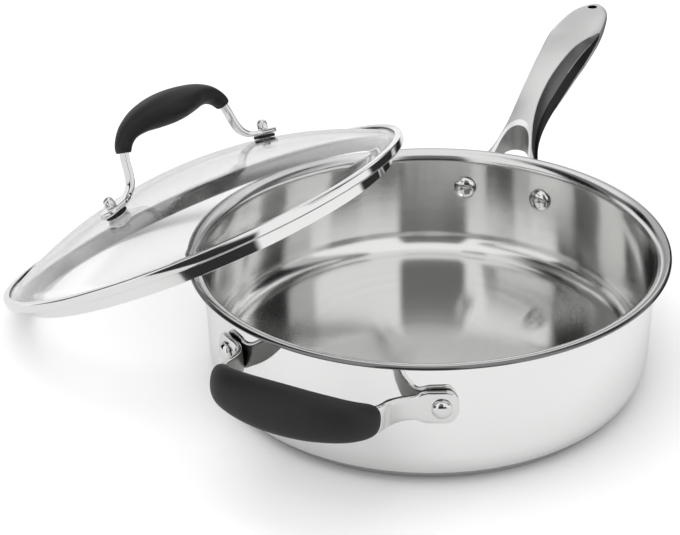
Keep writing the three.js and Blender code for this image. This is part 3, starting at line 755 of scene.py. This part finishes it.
rivet_steel = polished_steel("rivet_steel", (0.76, 0.76, 0.755), 0.05, 0.12)
pair = pair_tree()
long_spread, long_height = math.radians(11.9), 0.0545
long_rivets = grown("long_handle_rivets", rivet("long_rivet", 0.1368, 0.005, 0.0018), pair,
                    {"Bearing": 0.0, "Spread": long_spread, "Height": long_height, "Finish": rivet_steel})
fit("long_handle_rivets", long_rivets, "pan", "polished_steel",
    "long_handle_rivet_left", "long_handle_rivet_right")
helper_bearing, helper_spread, helper_height = math.radians(178.9), 28.1, 52.5
helper_rivets = grown("helper_rivets", rivet("helper_rivet", 0.1365, 0.0053, 0.003), pair,
                      {"Bearing": helper_bearing, "Spread": math.radians(helper_spread),
                       "Height": helper_height / 1000, "Finish": rivet_steel})
fit("helper_rivets", helper_rivets, "pan", "polished_steel", "helper_rivet_left", "helper_rivet_right")


# Helper handle: a steel strap bent to a loop, its two feet curved to the wall, with a black
# silicone sleeve moulded over the middle of the loop. The strap's side that faces the wall is a
# dark copy of its steel: painted shade.
def skin_tree():
    """Stretches a rounded skin over a row of points that carry the section's two half sizes."""
    sockets = {"Rows": "Int", "Sides": "Int", "Squareness": "Float",
               "Finish": "Material", "Shaded_back": "Material"}
    tree, given = new_tree("skin_over_path", sockets)
    flat = given.node("GeometryNodeMeshGrid", links={"Vertices X": given.output("Sides") + 1,
                                                     "Vertices Y": given.output("Rows")})
    spread = given.node("ShaderNodeSeparateXYZ", links={0: flat.output("UV Map")})
    row = given.math("ROUND", spread.output("Y") * (given.output("Rows") - 1))
    angle = given.math("FRACT", spread) * (2 * math.pi)

    def at_row(value, kind):
        links = {"Geometry": given, "Value": value, "Index": row}
        return given.node("GeometryNodeSampleIndex", {"data_type": kind}, links)

    def stored(name, kind):
        named = given.node("GeometryNodeInputNamedAttribute", {"data_type": kind}, {"Name": name})
        return at_row(named, kind)

    def swell(wave):
        value = given.math(wave, angle)
        rounded = given.math("ABSOLUTE", value) ** (2 / given.output("Squareness"))
        return given.math("SIGN", value) * rounded

    place = at_row(given.node("GeometryNodeInputPosition"), "FLOAT_VECTOR")
    for vector, size, wave in (("across", "half_across", "COSINE"), ("through", "half_through", "SINE")):
        links = {0: stored(vector, "FLOAT_VECTOR"), "Scale": stored(size, "FLOAT") * swell(wave)}
        step = given.node("ShaderNodeVectorMath", {"operation": "SCALE"}, links)
        place = given.node("ShaderNodeVectorMath", {"operation": "ADD"}, {0: place, 1: step})
    skin = given.node("GeometryNodeSetPosition", links={"Geometry": flat, "Position": place})
    shut = given.node("GeometryNodeMergeByDistance", links={"Geometry": skin, "Distance": 1e-6})
    real = given.node("GeometryNodeRealizeInstances", links={"Geometry": shut})
    # The side that faces back takes the second finish, which on the helper strap is painted shade.
    shade_from = 0.6
    shaded_side = given.math("GREATER_THAN", given.math("SINE", angle), shade_from)
    both = painted(painted(real, given.output("Finish")), given.output("Shaded_back"), Selection=shaded_side)
    given.node("NodeGroupOutput", links={"Geometry": both})
    return tree


skin = skin_tree()


def skinned(name, rows, sides, squareness, material, back, place):
    """rows: (point, across, through, half across, half through), in millimetres."""
    spine = bpy.data.meshes.new(name)
    spine.from_pydata([row[0] / 1000 for row in rows], [], [])
    for key, column in (("across", 1), ("through", 2)):
        held = spine.attributes.new(key, "FLOAT_VECTOR", "POINT")
        held.data.foreach_set("vector", [c for row in rows for c in row[column]])
    for key, column in (("half_across", 3), ("half_through", 4)):
        held = spine.attributes.new(key, "FLOAT", "POINT")
        held.data.foreach_set("value", [row[column] / 1000 for row in rows])
    made = grown(name, spine, skin, {"Rows": len(rows), "Sides": sides, "Squareness": squareness,
                                     "Finish": material, "Shaded_back": back})
    made.transform(place)
    bm = bmesh.new()
    bm.from_mesh(made)
    bmesh.ops.recalc_face_normals(bm, faces=bm.faces)
    bm.to_mesh(made)
    bm.free()
    return made


def closed(rows):
    """The rows with a point at each end, where the skin draws together."""
    return [(*rows[0][:3], 0, 0), *rows, (*rows[-1][:3], 0, 0)]


def quarter_round(t):
    """From 0 to 1 as t does, as a quarter circle rises."""
    return math.sqrt(max(0.0, 1 - (1 - min(1.0, t)) ** 2))


strap_half, foot_length, neck_length, toe = 1.8, 15, 9, 6.0


def strap_rows(line, across_at, strap, foot):
    """Rows of a strap: a broad rounded foot at each end and a narrower bar between."""
    rows = []
    done = distances(line)
    for k, place in enumerate(line):
        end = min(done[k], done[-1] - done[k])
        across = across_at(place)
        through = direction(line, k).cross(across).normalized()
        wide = strap + (foot - strap) * (1 - ease((end - foot_length) / neck_length))
        rows.append((place, across, through, wide / 2 * max(0.35, quarter_round(end / toe)), strap_half))
    return closed(rows)


def grip_rows(line, across_at, end, belly, sharpness, deep, hang):
    """Rows of a sleeve: slim rounded ends and a broad, deep belly that hangs inwards."""
    rows, slim, rounding, last = [], 10, 5, len(line) - 1
    for k, place in enumerate(line):
        across = across_at(place)
        inward = direction(line, k).cross(across).normalized()
        full = math.sin(math.pi * k / last) ** sharpness if 0 < k < last else 0.0
        soft = 0.84 + 0.16 * quarter_round(min(k, last - k) / rounding)
        half_across = (end + (belly - end) * full) / 2 * soft
        half_through = (slim + (deep - slim) * full) / 2 * soft
        rows.append((place + inward * hang * full, across, inward, half_across, half_through))
    return closed(rows)


def silicone(name, deep=(0.004, 0.004, 0.0045), pale=(0.010, 0.010, 0.0105)):
    """Matt silicone, black unless told otherwise: a fine moulded grain and a soft bloom."""
    material, inputs, wire = new_finish(name, {"Specular IOR Level": 0.42})
    place = wire.node("ShaderNodeTexCoord", out="Object")
    grain, bloom = cloudy(place, 1400.0, 2.0), cloudy(place, 40.0, 3.0)
    blend(bloom, deep, pale).into(inputs["Base Color"])
    (0.46 + 0.10 * bloom + 0.06 * grain).into(inputs["Roughness"])
    bumped(grain, 0.10, 0.0002).into(inputs["Normal"])
    return material


strap_steel = polished_steel("strap_steel", (0.78, 0.78, 0.775), 0.08, 0.17)
# Painted shade: a dark copy of the strap's steel for its side that faces the wall.
strap_back_shade = satin_steel("strap_back_shade", (0.22, 0.22, 0.215), 0.3)
strap_sides, strap_square = 40, 4.5
grip_black = silicone("grip_silicone")
grip_sides, grip_square = 48, 2.35
foot_circle = wall_mm + 0.6 + strap_half
foot_angles = [helper_spread + a for a in (3.7, 1.5, -1.5, -4.6)]
helper_rise, helper_reach, lean_run = 12, 38, 20
# Each point: distance out, distance to the side, and its share of the rise.
helper_half = [(x, y, 0.0) for x, y in oval(0.0, 0.0, foot_circle, foot_circle, foot_angles)]
helper_half += [(132.6, 48.2, 0.26), (142, 45.8, 0.5), (154, 44, 0.72), (163, 36.5, 0.9),
                (168.4, 20, 0.98)]
helper_points = helper_half + [(170, 0, 1)] + [(x, -y, t) for x, y, t in helper_half[::-1]]
helper_line = smooth_path([(x, y, helper_height + helper_rise * t) for x, y, t in helper_points], 160)


def helper_across(place):
    """The strap stands upright at the wall and leans back with the loop's rise."""
    lean = math.atan2(helper_rise, helper_reach) * ease((place.x - wall_mm) / lean_run)
    return Vector((-math.sin(lean), 0, math.cos(lean)))


helper_place = Matrix.Rotation(helper_bearing, 4, "Z")
helper_strap = skinned("helper_handle_bar_shown", strap_rows(helper_line, helper_across, 14, 19),
                       strap_sides, strap_square, strap_steel, strap_back_shade, helper_place)
fit("helper_handle_bar_shown", helper_strap, "pan", "polished_steel", "helper_handle_bar")
sleeve_start = 153
helper_middle = smooth_path([p for p in helper_line if p.x > sleeve_start], 90)
helper_grip = skinned("helper_handle_grip_shown",
                      grip_rows(helper_middle, helper_across, 14.4, 25.5, 0.7, 15, 0),
                      grip_sides, grip_square, grip_black, grip_black, helper_place)
fit("helper_handle_grip_shown", helper_grip, "pan", "silicone", "helper_handle_grip")


# Lid: a clear pressed glass dome gripped by a rolled steel band. The foot of the band's skirt
# stands on the table on the far side, and the skirt leans on the pan's lip at two points.
skirt, tilt, clearance = 129.0, math.radians(23.1), 0.3
lip_contact = 140.5
lid_height = skirt * math.sin(tilt) + clearance
meeting = (1000 * rim_height + clearance - lid_height) / (skirt * math.sin(tilt))
reach = math.sqrt(lip_contact**2 - skirt**2 * (1 - meeting**2)) + skirt * meeting * math.cos(tilt)
lid_place = (Matrix.Rotation(math.radians(86.3), 4, "Z")
             @ Matrix.Translation((reach / 1000, 0, lid_height / 1000)) @ Matrix.Rotation(tilt, 4, "Y"))
band_sheet, band_bend = 0.0009, 0.0013
band_out, band_low, band_high = 0.1387, 0.0098, 0.0133
skirt_inside, skirt_outside = 0.1281, skirt / 1000
band_profile = (
    [(skirt_inside, 0.0), (0.1286, 0.0), (skirt_outside, 0.0003), (skirt_outside, 0.0082)]
    + [(0.1293, 0.0085)]
    + arc(band_out, band_low, band_bend, -90, 0, 8)
    + arc(band_out, band_high, band_bend, 0, 90, 8)
    + [(0.1358, 0.0146), (0.1356, 0.0144), (0.1356, 0.0137)]
    + arc(band_out, band_high, band_bend - band_sheet, 90, 0, 4)
    + arc(band_out, band_low, band_bend - band_sheet, 0, -90, 4)
    + [(skirt_inside, 0.0094), (skirt_inside, 0.0)]
)
band_finishes = [
    polished_steel("band_steel", (0.82, 0.82, 0.815), 0.03, 0.09),
    # Painted shade: the skirt's inside face is a dark satin copy of the band's steel, under the lid.
    satin_steel("skirt_inside", (0.28, 0.28, 0.275), 0.26),
]
band_mesh = turned("lid_band_shown", band_profile, band_finishes,
                   lambda r, z: int(r < skirt_inside + 0.0001), steps=256)
band_mesh.transform(lid_place)
fit("lid_band_shown", band_mesh, "lid", "polished_steel", "lid_band")


def clear_glass():
    """Clear glass: nearly all light goes through, a little is mirrored and more at the edge."""
    sockets = {"Base Color": (0.98, 0.98, 0.98, 1), "IOR": 1.33, "Transmission Weight": 1.0}
    material, inputs, wire = new_finish("clear_glass", sockets)
    smear = cloudy(wire.node("ShaderNodeTexCoord", out="Object"), 14.0, 3.0)
    (0.01 + 0.03 * smear).into(inputs["Roughness"])
    path = wire.node("ShaderNodeLightPath", out="Is Shadow Ray")
    unseen = wire.math("MAXIMUM", path, path.output("Is Diffuse Ray"))
    lets_through = wire.node("ShaderNodeBsdfTransparent", links={"Color": (0.98, 0.98, 0.98, 1)})
    glassy = Wire(material.node_tree, material.node_tree.nodes["Principled BSDF"].outputs[0])
    both = wire.node("ShaderNodeMixShader", links={0: unseen, 1: glassy, 2: lets_through})
    both.into(material.node_tree.nodes["Material Output"].inputs["Surface"])
    return material


dome_top, dome_radius, glass = 0.044, 0.305, 0.004


def dome(r, radius):
    """The height of the glass at a distance from its middle, for its upper or lower face."""
    return dome_top - dome_radius + math.sqrt(radius**2 - r**2)


glass_profile = (
    [(0.0, dome_top)]
    + [(r / 1000, dome(r / 1000, dome_radius)) for r in range(6, 133, 6)]
    + [(0.1346, 0.0134), (0.1369, 0.0134), (0.1375, 0.0124), (0.1375, 0.0107), (0.1369, 0.0097)]
    + [(0.132, 0.0097)]
    + [(r / 1000, dome(r / 1000, dome_radius - glass)) for r in range(126, 5, -6)]
    + [(0.0, dome_top - glass)]
)
glass_mesh = turned("lid_glass_shown", glass_profile, [clear_glass()])
glass_mesh.transform(lid_place)
fit("lid_glass_shown", glass_mesh, "lid", "glass", "lid_glass")


# Lid handle: a steel strap in an arch with a silicone sleeve over the top. It stands on the glass
# on two feet, each held by a screw from below, washers on both faces, and a domed nut.
handle_shift, foot_out, washer = 0.0075, 62.4, 2
sphere_middle = Matrix.Translation((0, 0, dome_top - dome_radius))
lid_handle_place = (lid_place @ Matrix.Rotation(math.radians(75), 4, "Z") @ sphere_middle
                    @ Matrix.Rotation(-handle_shift / dome_radius, 4, "X") @ sphere_middle.inverted())
slope = math.asin(foot_out / 1000 / dome_radius)
foot_top = 1000 * dome(foot_out / 1000, dome_radius)
lift = clearance + washer + clearance + strap_half


def on_foot(along):
    """A point of the strap's foot, at a distance outwards from the screw."""
    return (foot_out + along * math.cos(slope) + lift * math.sin(slope), 0,
            foot_top - along * math.sin(slope) + lift * math.cos(slope))


def lid_across(place):
    return Vector((0, 1, 0))


lid_half = [on_foot(9), on_foot(4.5), on_foot(0), on_foot(-5), (52, 0, 44.8), (46.2, 0, 49.8),
            (43.6, 0, 57), (42, 0, 66), (39.4, 0, 74), (33.4, 0, 80.4), (23.4, 0, 84.7), (12, 0, 86.7)]
lid_line = smooth_path(lid_half + [(0, 0, 87.4)] + [(-x, y, z) for x, y, z in lid_half[::-1]], 170)
lid_strap = skinned("lid_handle_bar_shown", strap_rows(lid_line, lid_across, 7.6, 15),
                    strap_sides, strap_square, strap_steel, strap_steel, lid_handle_place)
fit("lid_handle_bar_shown", lid_strap, "lid", "polished_steel", "lid_handle_bar")
sleeve_foot = 70
lid_middle = smooth_path([p for p in lid_line if p.z > sleeve_foot], 90)
lid_grip = skinned("lid_handle_grip_shown", grip_rows(lid_middle, lid_across, 11, 46, 2.2, 21, 3),
                   grip_sides, grip_square, grip_black, grip_black, lid_handle_place)
fit("lid_handle_grip_shown", lid_grip, "lid", "silicone", "lid_handle_grip")


def at_feet(name, profile, steps, material, shape=None):
    """A piece turned on a foot's own upright, placed on both feet of the lid handle."""
    mesh = turned(name, [(r / 1000, z / 1000) for r, z in profile], [], steps=steps)
    if shape:
        shape(mesh)
    foot = Matrix.Translation((foot_out / 1000, 0, foot_top / 1000)) @ Matrix.Rotation(slope, 4, "Y")
    mesh.transform(foot)
    made = grown(name, mesh, pair, {"Bearing": math.pi / 2, "Spread": math.pi / 2, "Height": 0.0,
                                    "Finish": material})
    made.transform(lid_handle_place)
    return made


# Profiles from here on: distance from the screw's middle, height over the glass, in millimetres.
upper_washer = [(2.4, 0.3), (7.0, 0.3), (7.3, 0.6), (7.3, 2.0), (7.0, 2.3), (2.4, 2.3), (2.4, 0.3)]
upper_washers = at_feet("lid_gaskets_upper", upper_washer, 48, silicone("washer_silicone"))
fit("lid_gaskets_upper", upper_washers, "lid", "silicone",
    "lid_gasket_upper_front", "lid_gasket_upper_rear")
washer_pale = silicone("washer_clear", (0.62, 0.63, 0.63), (0.72, 0.73, 0.73))
lower_washer = [(2.4, -6.6), (7.3, -6.6), (7.6, -6.3), (7.6, -4.9), (7.3, -4.6), (4.3, -4.6), (4.3, 0),
                (2.4, 0), (2.4, -6.6)]
fit("lid_gaskets_lower", at_feet("lid_gaskets_lower", lower_washer, 48, washer_pale), "lid", "silicone",
    "lid_gasket_lower_front", "lid_gasket_lower_rear")
head_face, head_radius, head_height, screw_top, screw_radius = -6.9, 6, 2.4, 8.8, 2.1
screw = (
    [(0.0, head_face - head_height)]
    + oval(0.0, head_face, head_radius, -head_height, range(80, -1, -10))
    + [(screw_radius, head_face), (screw_radius, screw_top), (0.0, screw_top)]
)
fit("lid_screws", at_feet("lid_screws", screw, 40, rivet_steel), "lid", "polished_steel",
    "lid_screw_front", "lid_screw_rear")
half_flats, flats_top, flats_from, nut_bore = 3.45, 10.5, 3.0, 2.4
nut_dome, nut_rise = 3.35, 2.3


def six_flats(mesh):
    """Presses the lower part of the round nut to a hexagon."""
    for vertex in mesh.vertices:
        r = math.hypot(vertex.co.x, vertex.co.y)
        if r > flats_from / 1000 and vertex.co.z < flats_top / 1000:
            turn = math.atan2(vertex.co.y, vertex.co.x) % (math.pi / 3) - math.pi / 6
            scale = min(1.0, half_flats / 1000 / (r * math.cos(turn)))
            vertex.co.x *= scale
            vertex.co.y *= scale


nut = (
    [(0.0, 9.4), (nut_bore, 9.4), (nut_bore, 6.6), (3.6, 6.6), (3.9, 6.9), (3.9, 10.0), (3.6, 10.4)]
    + oval(0.0, flats_top, nut_dome, nut_rise, range(0, 86, 12))
    + [(0.0, flats_top + nut_rise)]
)
fit("lid_nuts", at_feet("lid_nuts", nut, 48, rivet_steel, six_flats), "lid", "polished_steel",
    "lid_nut_front", "lid_nut_rear")
